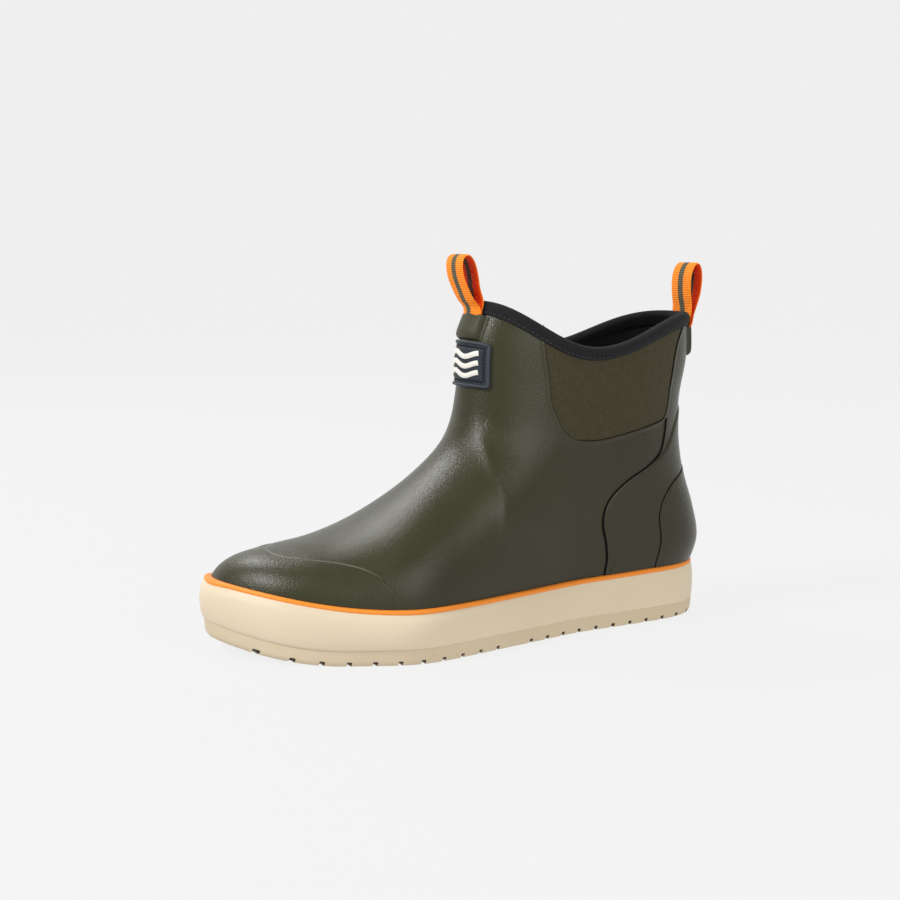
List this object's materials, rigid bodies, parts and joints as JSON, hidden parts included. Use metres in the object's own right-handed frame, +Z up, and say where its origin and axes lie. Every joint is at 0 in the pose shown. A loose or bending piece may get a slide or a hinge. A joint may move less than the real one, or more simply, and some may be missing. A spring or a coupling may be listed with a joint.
{
  "type": "deck boot",
  "caption": "Ankle-height rubber sailing boot for the left foot with stretch side panels, a bound collar, webbing pull loops and a siped pale sole.",
  "frame": {"origin": "on the ground face of the outsole, half way along the boot, on its long axis", "axes": "toe along -X, heel along +X, outer (lateral) side along -Y, inner side along +Y, +Z up"},
  "size_m": [0.3014, 0.119, 0.2079],
  "materials": {
    "olive_rubber": "satin moulded rubber with a fine grain",
    "tab_rubber": "matt moulded rubber",
    "stretch_fabric": "woven stretch fabric",
    "sidewall_rubber": "matt vulcanised rubber",
    "tread_rubber": "matt vulcanised rubber",
    "stripe_rubber": "satin rubber",
    "midsole_foam": "closed-cell foam",
    "board_fibre": "pressed fibre board",
    "neoprene_lining": "knitted face on neoprene",
    "collar_knit": "folded knit binding",
    "seam_tape": "woven tape",
    "footbed_foam": "moulded foam",
    "footbed_cloth": "brushed cloth",
    "heel_gel": "soft gel",
    "orange_webbing": "ribbed webbing with a grey-green middle stripe",
    "badge_rubber": "moulded rubber",
    "emblem_rubber": "raised moulded rubber"
  },
  "bodies": {
    "boot": {"outsole": "tread_rubber", "midsole": "midsole_foam", "foxing_band": "sidewall_rubber", "foxing_stripe": "stripe_rubber", "upper_shell": "olive_rubber", "stretch_panel_lateral": "stretch_fabric", "stretch_panel_medial": "stretch_fabric", "lining_sock": "neoprene_lining", "collar_binding": "collar_knit", "toe_cap": "olive_rubber", "heel_counter": "olive_rubber", "heel_patch": "olive_rubber", "insole_board": "board_fibre", "footbed": "footbed_foam", "heel_pad": "heel_gel", "footbed_cover": "footbed_cloth", "back_seam_tape": "seam_tape", "front_tab": "tab_rubber", "front_loop_tail": "orange_webbing", "rear_tab": "tab_rubber", "rear_loop_tail": "orange_webbing", "badge": "badge_rubber", "badge_wave_1": "emblem_rubber", "badge_wave_2": "emblem_rubber", "badge_wave_3": "emblem_rubber"},
    "front_loop_body": {"front_loop": "orange_webbing"},
    "rear_loop_body": {"rear_loop": "orange_webbing"}
  },
  "joints": [
    {"name": "front_loop_flex", "type": "hinge", "parent": "boot", "child": "front_loop_body", "pos_m": [0.0015, 0, 0.1875], "axis": [0, 1, 0], "range_deg": [-65, 70], "stiffness_Nm_per_rad": 0.01},
    {"name": "rear_loop_flex", "type": "hinge", "parent": "boot", "child": "rear_loop_body", "pos_m": [0.1465, 0, 0.1788], "axis": [0, 1, 0], "range_deg": [-65, 75], "stiffness_Nm_per_rad": 0.01}
  ]
}
